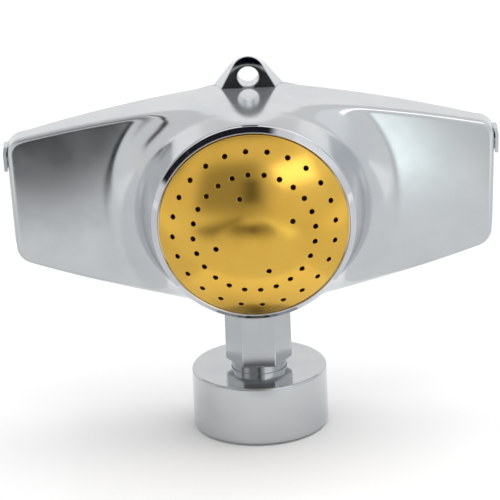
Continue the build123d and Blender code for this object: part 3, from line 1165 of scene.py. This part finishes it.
@dataclass
class SprayPlate:
    """The gilded dome, drilled square to its surface, in its bright bezel.

    Attributes:
        datum: The shared places.
        radius: The plate's radius at its rim.
        rise: The dome's rise.
        wall: The dome's thickness.
        rim: Thickness of the rim behind its plane.
        thread_radius: Radius of the skirt.
        skirt: Depth of the skirt.
        skirt_inner: Inner radius of the skirt.
        hole_radius: Radius of the holes.
        lip: Width of the bright edge round each hole.
        rings: Radius and count of each ring of holes.
        phase: Turn of the first hole, in degrees.
        facets: Number of facets round the dome.
        rim_break: Width and depth of the small break at the dome's rim.
        over: How far the drills stand out of the dome on each side.
    """

    datum: Datum
    radius: float = 29.25
    rise: float = 11.0
    wall: float = 1.5
    rim: float = 1.4
    thread_radius: float = 28.2
    skirt: float = 6.0
    skirt_inner: float = 26.6
    hole_radius: float = 0.85
    lip: float = 0.12
    rings: tuple[tuple[float, int], ...] = ((25.2, 24), (18.9, 24), (12.6, 4))
    phase: float = 18.9
    facets: int = 192
    rim_break: tuple[float, float] = (0.12, 0.05)
    over: tuple[float, float] = (0.4, 1.5)

    def build(self, gilt: bpy.types.Material, chrome: bpy.types.Material) -> None:
        """Builds the plate and the bezel.

        Args:
            gilt: The plate's finish.
            chrome: The bezel's finish.
        """
        place(self.plate(), HEAD, "plate_gilt", gilt, "spray_plate")
        section = rounded(
            [
                (28.4, 1.46, 0),
                (29.55, 1.46, 0),
                (29.55, 0.3, 0.1),
                (29.9, 0.0, 0.25),
                (31.55, 1.6, 0.25),
                (31.55, 2.6, 0.1),
                (28.4, 2.6, 0),
            ]
        )
        ring = spun(section, self.datum.boss, BACKWARDS, 256)
        place(made(ring, "bezel", 30), HEAD, "bezel_chrome", chrome, "bezel_ring")

    def plate(self) -> bpy.types.Object:
        """Builds the drilled dome.

        Returns:
            The plate.
        """
        sphere = (self.radius**2 + self.rise**2) / (2 * self.rise)
        centre = sphere - self.rise
        outer = [
            (sphere * math.sin(a), centre - sphere * math.cos(a))
            for a in np.linspace(0, math.asin(self.radius / sphere), 33)
        ]
        small = sphere - self.wall
        inner = [
            (small * math.sin(a), centre - small * math.cos(a))
            for a in np.linspace(math.asin(self.skirt_inner / small), 0, 25)
        ]
        edge = outer.pop()
        rim = [
            (edge[0] - self.rim_break[0], edge[1] - self.rim_break[1]),
            (edge[0], edge[1] + self.rim_break[0]),
            (self.radius, self.rim),
            (self.thread_radius, self.rim),
            (self.thread_radius, self.skirt),
            (self.skirt_inner, self.skirt),
        ]
        bm = spun(outer + rim + inner, self.datum.boss, BACKWARDS, self.facets, closed=False)
        piece = made(bm, "spray_dome", 30, False)
        cutter = self.drills(sphere, centre)
        drilling = piece.modifiers.new("holes", "BOOLEAN")
        drilling.operation = "DIFFERENCE"
        drilling.solver = "EXACT"
        drilling.object = cutter
        graph = bpy.context.evaluated_depsgraph_get()
        mesh = bpy.data.meshes.new_from_object(piece.evaluated_get(graph))
        piece.modifiers.clear()
        piece.data = mesh
        bpy.data.objects.remove(cutter)
        middle = (self.datum.boss + BACKWARDS * centre) * MM
        self.true_normals(mesh, middle)
        return piece

    def drills(self, sphere: float, centre: float) -> bpy.types.Object:
        """Builds the solids that the holes are cut with, each with a small flare at the surface.

        Args:
            sphere: The dome's radius.
            centre: Depth of its middle behind the rim.

        Returns:
            The cutter.
        """
        flare = self.hole_radius + self.lip
        out_by, in_by = self.over
        section = [
            (0.0, -self.wall - in_by),
            (self.hole_radius, -self.wall - in_by),
            (self.hole_radius, -self.lip),
            (flare, 0.0),
            (flare + 0.1, out_by),
            (0.0, out_by),
        ]
        bm = spun(section, Vector((0, 0, 0)), UP, 24, closed=False)
        pattern = bm.verts[:] + bm.edges[:] + bm.faces[:]
        middle = self.datum.boss + BACKWARDS * centre
        for ring_radius, count in self.rings:
            tilt = math.asin(ring_radius / sphere)
            for i in range(count):
                turn = math.radians(self.phase) + math.tau * i / count
                across = Vector((math.cos(turn), 0, math.sin(turn)))
                out = across * math.sin(tilt) - BACKWARDS * math.cos(tilt)
                copied = bmesh.ops.duplicate(bm, geom=pattern)["geom"]
                at = Matrix.Translation(middle + out * sphere)
                at = at @ UP.rotation_difference(out).to_matrix().to_4x4()
                bmesh.ops.transform(bm, matrix=at, verts=picked(copied, bmesh.types.BMVert))
        bmesh.ops.delete(bm, geom=picked(pattern, bmesh.types.BMVert), context="VERTS")
        bm.normal_update()
        return made(bm, "drills", 30, False)

    @staticmethod
    def true_normals(mesh: bpy.types.Mesh, middle: Vector) -> None:
        """Shades the dome as the sphere it is, whatever the facets between its holes.

        Args:
            mesh: The drilled plate.
            middle: The sphere's middle, in metres.
        """
        normals = [Vector(n.vector) for n in mesh.corner_normals]
        for face in mesh.polygons:
            out = (face.center - middle).normalized()
            facing = face.normal.dot(out)
            if abs(facing) < ON_SPHERE:
                continue
            for i in face.loop_indices:
                corner = mesh.vertices[mesh.loops[i].vertex_index].co
                normals[i] = (corner - middle).normalized() * (1 if facing > 0 else -1)
        mesh.normals_split_custom_set(normals)


# --- Stem and coupling ---


# An edge that rises by less than this many millimetres is level.
LEVEL = 1e-4


@dataclass
class Stem:
    """The chromed hexagon with its round neck and tail.

    Attributes:
        datum: The shared places.
        flats: Width across the flats.
        corner_radius: Rounding of the hexagon's corners.
        gap: Length of neck in sight above the coupling.
        length: Length of the hexagon.
        chamfer: Chamfer of its ends.
        neck_radius: Radius of the neck.
        neck_depth: How far the neck goes on below the hexagon.
        tail_radius: Radius of the tail.
        tail_depth: How far the tail's end is below the hexagon.
        lap: How far the hexagon overlaps the neck and the thread.
        bore_radius: Radius of the water way.
        thread_radius: Radius of the thread above the hexagon.
        thread_length: Length of that thread.
    """

    datum: Datum
    flats: float = 18.0
    corner_radius: float = 0.8
    gap: float = 2.2
    length: float = 17.9
    chamfer: float = 0.8
    neck_radius: float = 8.5
    neck_depth: float = 6.3
    tail_radius: float = 7.4
    tail_depth: float = 8.9
    lap: float = 1.0
    bore_radius: float = 5.5
    thread_radius: float = 8.0
    thread_length: float = 11.3

    def build(self, chrome: bpy.types.Material) -> None:
        """Builds the stem.

        Args:
            chrome: The finish.
        """
        low = self.datum.coupling_top + self.gap
        high = low + self.length
        bm = bmesh.new()
        corner = self.flats / math.sqrt(3)
        bmesh.ops.create_cone(
            bm,
            cap_ends=True,
            segments=6,
            radius1=corner,
            radius2=corner,
            depth=self.length,
            matrix=Matrix.Translation((0, 0, (low + high) / 2)) @ Matrix.Rotation(math.pi / 6, 4, "Z"),
        )
        uprights = [e for e in bm.edges if self.rise(e) > 1]
        bevelled(bm, uprights, self.corner_radius * math.tan(math.radians(30)), 6)
        bevelled(bm, [e for e in bm.edges if self.rise(e) < LEVEL], self.chamfer)
        section = rounded(
            [
                (self.bore_radius, low - self.tail_depth, 0.2),
                (self.tail_radius, low - self.tail_depth, 0.4),
                (self.tail_radius, low - self.neck_depth, 0),
                (self.neck_radius, low - self.neck_depth, 0.1),
                (self.neck_radius, high - self.lap, 0),
                (self.thread_radius, high - self.lap, 0),
                (self.thread_radius, high + self.thread_length, 0.4),
                (self.bore_radius, high + self.thread_length, 0.3),
            ]
        )
        tube = spun(section, Vector((0, 0, 0)), UP, 128)
        spare = bpy.data.meshes.new("tube")
        tube.to_mesh(spare)
        tube.free()
        bm.from_mesh(spare)
        bpy.data.meshes.remove(spare)
        place(made(bm, "hex_stem", 28), HEAD, "stem_chrome", chrome, "stem")

    @staticmethod
    def rise(edge: bmesh.types.BMEdge) -> float:
        """How much higher one end of an edge is than the other."""
        return abs(edge.verts[0].co.z - edge.verts[1].co.z)


@dataclass
class Coupling:
    """The swivelling foot: plain outside, pipe thread inside.

    Attributes:
        datum: The shared places.
        radius: Outer radius.
        top_edge: Rounding of the top edge.
        foot_edge: Rounding of the lower edge.
        top_wall: Thickness of the top.
        neck_hole: Radius of the hole that the neck runs in.
        thread_radius: Inner radius of the pipe thread.
        thread_depth: Depth of the thread.
        pitch: Pitch of the thread.
        thread_low: Height where the thread begins.
        thread_high: Height where it ends.
        relief: How much wider the bore is above the thread.
    """

    datum: Datum
    radius: float = 21.0
    top_edge: float = 0.7
    foot_edge: float = 1.8
    top_wall: float = 3.2
    neck_hole: float = 8.56
    thread_radius: float = 15.15
    thread_depth: float = 1.2
    pitch: float = 2.309
    thread_low: float = 0.8
    thread_high: float = 10.2
    relief: float = 0.5

    def build(self, chrome: bpy.types.Material) -> None:
        """Builds the coupling.

        Args:
            chrome: The finish.
        """
        top = self.datum.coupling_top
        deep = self.thread_radius + self.thread_depth
        corners = [
            (self.neck_hole, top, 0.25),
            (self.neck_hole, top - self.top_wall, 0),
            (self.thread_radius + self.relief, top - self.top_wall, 0.3),
            (self.thread_radius + self.relief, self.thread_high, 0),
        ]
        turns = int((self.thread_high - self.thread_low) / self.pitch)
        for k in range(turns, 0, -1):
            crest = self.thread_low + self.pitch * k
            corners.append((self.thread_radius, crest, 0.12))
            corners.append((deep, crest - self.pitch / 2, 0.12))
        corners += [
            (self.thread_radius, self.thread_low, 0.1),
            (self.thread_radius + self.thread_low, 0, 0.1),
            (self.radius, 0, self.foot_edge),
            (self.radius, top, self.top_edge),
        ]
        bm = spun(rounded(corners), Vector((0, 0, 0)), UP, 256)
        place(made(bm, "swivel_nut", 30), COUPLING, "coupling_chrome", chrome, "inlet_coupling")


# --- Rear cover and inner pieces ---


@dataclass
class SmallPieces:
    """The rear cover, the screws, the seals and the inner pieces, which keep their CAD shapes."""

    finishes: dict[str, bpy.types.Material]

    def build(self) -> None:
        """Gives the smooth copies and the CAD nodes their finishes."""
        for node, name, slot in (
            ("rear_cover", "cover_plate", "cover_chrome"),
            ("cover_screws", "cover_screw_set", "screw_steel"),
            ("end_screws", "end_screw_set", "screw_steel"),
        ):
            place(merged_copy(node, name), HEAD, slot, self.finishes[slot], node)
        for node, slot in (
            ("cover_gasket", "seal_rubber"),
            ("bezel_gasket", "seal_rubber"),
            ("plate_o_ring", "seal_rubber"),
            ("water_chamber", "chamber_brass"),
            ("stem_o_ring", "seal_rubber"),
            ("stem_washer", "washer_fibre"),
            ("thrust_washer", "washer_acetal"),
            ("retaining_collar", "collar_brass"),
            ("collar_seal", "seal_rubber"),
            ("inlet_washer", "seal_rubber"),
            ("strainer_rim", "washer_acetal"),
            ("strainer_screen", "strainer_steel"),
        ):
            dress(bpy.data.objects[node], self.finishes[slot])


# --- Studio ---


@dataclass(frozen=True)
class Patch:
    """A soft-edged rectangle on a card.

    Attributes:
        low: Its lowest places along the card's two world axes, in millimetres.
        high: Its highest places along them.
        soft: Half the width of its edges, along each axis.
        colour: Its light.
    """

    low: tuple[float, float]
    high: tuple[float, float]
    soft: tuple[float, float]
    colour: tuple[float, float, float]

    def lay(
        self, tree: bpy.types.NodeTree, axes: list[bpy.types.NodeSocket], under: bpy.types.NodeSocket
    ) -> bpy.types.NodeSocket:
        """Lays the patch over what is on the card so far.

        Args:
            tree: The card's tree.
            axes: The coordinates along the card, in metres.
            under: The colour underneath.

        Returns:
            The colour with the patch on it.
        """
        mask = None
        for axis, low, high, soft in zip(axes, self.low, self.high, self.soft):
            for edge, way in ((low, 1), (high, -1)):
                step = add_node(
                    tree,
                    "ShaderNodeMapRange",
                    {
                        "interpolation_type": "SMOOTHSTEP",
                        "From Min": (edge - soft * way) * MM,
                        "From Max": (edge + soft * way) * MM,
                    },
                    {"Value": axis},
                ).outputs[0]
                if mask is None:
                    mask = step
                else:
                    mask = add_node(
                        tree, "ShaderNodeMath", {"operation": "MULTIPLY"}, {"0": mask, "1": step}
                    ).outputs[0]
        mix = add_node(tree, "ShaderNodeMix", {"data_type": "RGBA"}, {"0": mask, "6": under})
        mix.inputs[7].default_value = (*self.colour, 1)
        return mix.outputs[2]


@dataclass
class Studio:
    """A plain pale floor, soft light, and cards that only the polished metal sees.

    Attributes:
        datum: The shared places.
        elevation: The camera's height above the horizon, in degrees.
        roll: How far the picture leans to the left, in degrees.
        distance: Distance of the camera from the rim's middle.
        scale: Millimetres that one picture point covers there.
        centre: Place of the rim's middle from the picture's middle, right and up, in points.
        points: The picture's width, in points.
        world_strength: Strength of the even light from all round.
        lamp_middle: Place of the soft light overhead, in millimetres.
        lamp_aim: Height above the foot of the point that it faces.
        lamp_size: Its side.
        lamp_power: Its power in watts.
    """

    datum: Datum
    elevation: float = 20.9
    roll: float = 2.25
    distance: float = 1800.0
    scale: float = 0.3066
    centre: tuple[float, float] = (3.95, 25.07)
    points: int = 500
    world_strength: float = 0.75
    lamp_middle: tuple[float, float, float] = (300.0, 200.0, 1500.0)
    lamp_aim: float = 60.0
    lamp_size: float = 1600.0
    lamp_power: float = 15.0

    def build(self) -> None:
        """Builds the floor, the lights and the camera."""
        self.floor()
        self.lights()
        self.camera()

    def floor(self) -> None:
        """Lays the floor."""
        bm = bmesh.new()
        bmesh.ops.create_grid(bm, x_segments=1, y_segments=1, size=6000)
        floor = made(bm, "floor", 30, False)
        floor.location.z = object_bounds()[0].z
        dress(floor, PlainFinish("pale_paper", "f4f4f3", "f1f1f1", 0.9, 0.6, 0.01).build())
        floor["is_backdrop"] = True

    def card(
        self,
        name: str,
        middle: tuple[float, float, float],
        size: tuple[float, float],
        facing: tuple[float, float, float],
        colour: tuple[float, float, float],
        patches: tuple[Patch, ...] = (),
    ) -> None:
        """Hangs a flat glowing card that only polished metal sees.

        Args:
            name: The card's name.
            middle: Its middle, in millimetres.
            size: Its width and height.
            facing: The way it faces.
            colour: Its light.
            patches: Soft-edged patches with a light of their own.
        """
        bm = bmesh.new()
        bmesh.ops.create_grid(bm, x_segments=1, y_segments=1, size=0.5)
        bmesh.ops.scale(bm, vec=Vector((*size, 1)), verts=bm.verts[:])
        turn = Vector(facing).to_track_quat("Z", "Y").to_matrix().to_4x4()
        bmesh.ops.transform(bm, matrix=Matrix.Translation(middle) @ turn, verts=bm.verts[:])
        card = made(bm, name, 30, False)
        material, tree = new_material(name)
        shade = add_node(tree, "ShaderNodeRGB").outputs[0]
        shade.default_value = (*colour, 1)
        coordinates = add_node(tree, "ShaderNodeTexCoord").outputs["Object"]
        split = add_node(tree, "ShaderNodeSeparateXYZ", links={"Vector": coordinates}).outputs
        axes = [socket for socket, way in zip(split, facing) if way == 0]
        for patch in patches:
            shade = patch.lay(tree, axes, shade)
        glow = add_node(tree, "ShaderNodeEmission", links={"Color": shade})
        add_node(tree, "ShaderNodeOutputMaterial", links={"Surface": glow.outputs["Emission"]})
        dress(card, material)
        card.visible_camera = False
        card.visible_diffuse = False
        card.visible_shadow = False
        card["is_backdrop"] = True

    def lights(self) -> None:
        """Sets the lights and the cards."""
        world = bpy.data.worlds.new("studio")
        world.use_nodes = True
        background = world.node_tree.nodes["Background"]
        background.inputs["Color"].default_value = (1, 1, 1, 1)
        background.inputs["Strength"].default_value = self.world_strength
        bpy.context.scene.world = world
        data = bpy.data.lights.new("overhead", "AREA")
        data.shape, data.size, data.energy = "SQUARE", self.lamp_size * MM, self.lamp_power
        lamp = bpy.data.objects.new("overhead", data)
        middle = Vector(self.lamp_middle)
        lamp.location = middle * MM
        aim = Vector((0, 0, self.lamp_aim)) - middle
        lamp.rotation_euler = aim.to_track_quat("-Z", "Y").to_euler()
        lamp.visible_glossy = lamp.visible_camera = False
        bpy.context.scene.collection.objects.link(lamp)
        self.card("back_wall", (0, 1500, 700), (5000, 1400), (0, -1, 0), (0.96, 0.96, 0.96))
        self.card(
            "front_sheet",
            (0, -1550, 1),
            (5000, 2980),
            (0, 0, 1),
            (0.75, 0.76, 0.765),
            (
                Patch((-4000, -170), (-215, 200), (18, 30), (0.9, 0.9, 0.9)),
                Patch((195, -190), (4000, 200), (18, 30), (1.0, 1.0, 1.0)),
                Patch((-210, -4000), (-121, -174), (12, 36), (0.0, 0.0, 0.0)),
                Patch((-100, -450), (85, -240), (12, 12), (0.0, 0.0, 0.005)),
                Patch((148, -4000), (195, -175), (8, 25), (0.58, 0.6, 0.6)),
                Patch((100, -4000), (137, -186), (9, 28), (1.5, 1.66, 1.64)),
            ),
        )
        self.card(
            "camera_side",
            (-600, -1100, 900),
            (3000, 1800),
            (0, 1, 0),
            (0.75, 0.75, 0.75),
            (
                Patch((-1150, 0), (200, 1050), (220, 220), (0.3, 0.3, 0.3)),
                Patch((-120, 230), (120, 620), (25, 40), (0.01, 0.01, 0.01)),
            ),
        )
        self.card(
            "upper_window", (680, -830, 620), (700, 380), (-0.56, 0.69, -0.46), (1.9, 1.9, 1.9)
        )
        self.card(
            "dark_ceiling",
            (-1000, -600, 1500),
            (4000, 700),
            (0, 0, -1),
            (0.75, 0.75, 0.75),
            (Patch((-4000, -760), (480, -450), (120, 60), (0.01, 0.01, 0.015)),),
        )
        self.card(
            "dark_side",
            (-1250, -50, 1000),
            (1400, 2000),
            (1, 0, 0),
            (0.75, 0.75, 0.75),
            (
                Patch((-390, 300), (-190, 640), (45, 70), (0.01, 0.01, 0.015)),
                Patch((-540, 560), (-290, 1080), (45, 70), (0.01, 0.01, 0.015)),
                Patch((-700, 1020), (-430, 4000), (45, 70), (0.01, 0.01, 0.015)),
            ),
        )
        self.card(
            "right_window",
            (1300, -250, 1000),
            (1500, 2000),
            (-1, 0, 0),
            (0.72, 0.74, 0.76),
            (Patch((-4000, 420), (4000, 4000), (60, 160), (0.86, 0.88, 0.9)),),
        )
        self.card("side_sheet", (1280, 320, 1), (2440, 760), (0, 0, 1), (0.74, 0.75, 0.76))
        self.card("other_side_sheet", (-1280, 320, 1), (2440, 760), (0, 0, 1), (0.68, 0.69, 0.7))
        bpy.context.scene.view_settings.view_transform = "Standard"

    def camera(self) -> None:
        """Sets the camera at the picture's angle."""
        tilt, roll = math.radians(self.elevation), math.radians(self.roll)
        back = Vector((0, -math.cos(tilt), math.sin(tilt)))
        level_right, level_up = Vector((1, 0, 0)), Vector((0, math.sin(tilt), math.cos(tilt)))
        right = level_right * math.cos(roll) - level_up * math.sin(roll)
        up = level_right * math.sin(roll) + level_up * math.cos(roll)
        aim = self.datum.boss - (right * self.centre[0] + up * self.centre[1]) * self.scale
        data = bpy.data.cameras.new("camera")
        data.sensor_width = 36.0
        data.lens = data.sensor_width * self.distance / (self.scale * self.points)
        data.clip_start, data.clip_end = 0.05, 50.0
        camera = bpy.data.objects.new("camera", data)
        turn = Matrix((right, up, back)).transposed().to_4x4()
        camera.matrix_world = Matrix.Translation((aim + back * self.distance) * MM) @ turn
        bpy.context.scene.collection.objects.link(camera)
        bpy.context.scene.camera = camera


# --- The whole head ---


def finishes(datum: Datum) -> dict[str, bpy.types.Material]:
    """Makes every finish.

    Args:
        datum: The shared places.

    Returns:
        The materials, by the record's slot names, and the lug's own.
    """
    boss = tuple(datum.boss)
    made_of = {
        # Chrome plate over a polished zinc casting: clear but slightly soft reflections.
        "housing_chrome": MetalFinish("plated_casting", "dbdddf", "d3d6d9", 0.135, smudge=0.05),
        # The lug's faces are small and buffed harder, so they mirror what is before them.
        "lug_chrome": MetalFinish("plated_lug", "dbdddf", "d3d6d9", 0.05, smudge=0.03),
        # Chrome plate over pressed sheet, left as it came from the press: a blurred, cloudy sheen.
        "cover_chrome": MetalFinish("plated_cover", "d4d7da", "cbcfd3", 0.22, smudge=0.06),
        # Bright chrome plate on turned brass: near-mirror, with turning marks round it.
        "bezel_chrome": MetalFinish(
            "plated_ring", "e2e4e7", "dcdee2", 0.05, smudge=0.03, lay=Lay.ROUND_Y, centre=boss
        ),
        # Chrome plate over drawn bar: the draw marks run up it and blur what it mirrors sideways.
        "stem_chrome": MetalFinish(
            "plated_hexagon", "cbcdcf", "c3c6c9", 0.2, smudge=0.05, lay=Lay.ALONG_Z
        ),
        # Chrome plate on a turned nut: fine rings round it under an even, silky sheen. Its colour is
        # set darker than the casting's chrome, as painted shade for the dimmer surroundings that it
        # mirrors.
        "coupling_chrome": MetalFinish(
            "plated_nut", "c6c8ca", "bec1c4", 0.13, smudge=0.04, lay=Lay.ROUND_Z
        ),
        # Gold-coloured plate on turned brass: the turning marks stretch the highlight sideways.
        "plate_gilt": MetalFinish(
            "gilt_dome",
            "f1c257",
            "e9b84e",
            0.19,
            smudge=0.05,
            lay=Lay.ROUND_Y,
            anisotropy=0.5,
            centre=boss,
        ),
        # Bare machined brass: yellow, with turning marks left as the tool left them.
        "chamber_brass": MetalFinish(
            "machined_brass", "cfa55c", "bd9350", 0.3, lay=Lay.ROUND_Y, centre=boss
        ),
        "collar_brass": MetalFinish("turned_brass", "d3ab62", "c09853", 0.28, lay=Lay.ROUND_Z),
        # Plain stainless steel: greyer and duller than the chrome round it.
        "screw_steel": MetalFinish("stainless_screws", "b9bcc0", "a8abb0", 0.28),
        "strainer_steel": MetalFinish("stainless_sheet", "b6b9bd", "a6a9ad", 0.3),
        # Moulded rubber: near-black, with a weak broad sheen.
        "seal_rubber": PlainFinish("moulded_rubber", "1b1b1c", "262627", 0.55, 0.3, 0.01, 1.52),
        # Pressed fibre: dull red-brown and slightly mottled.
        "washer_fibre": PlainFinish("pressed_fibre", "7a3b2c", "5f2c20", 0.7, 0.5, 0.02),
        # Acetal: milky white, smooth, with a soft highlight.
        "washer_acetal": PlainFinish("moulded_acetal", "ece9e1", "e2dfd6", 0.35, 0.8, 0.004, 1.48),
    }
    return {slot: finish.build() for slot, finish in made_of.items()}


def main() -> None:
    """Builds the head, then the studio."""
    logging.basicConfig(level=logging.INFO, format="%(name)s: %(message)s")
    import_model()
    datum = Datum.read()
    finish = finishes(datum)
    Housing(datum).build(finish["housing_chrome"], finish["lug_chrome"])
    SprayPlate(datum).build(finish["plate_gilt"], finish["bezel_chrome"])
    Stem(datum).build(finish["stem_chrome"])
    Coupling(datum).build(finish["coupling_chrome"])
    SmallPieces(finish).build()
    Studio(datum).build()


if __name__ == "__main__":
    main()
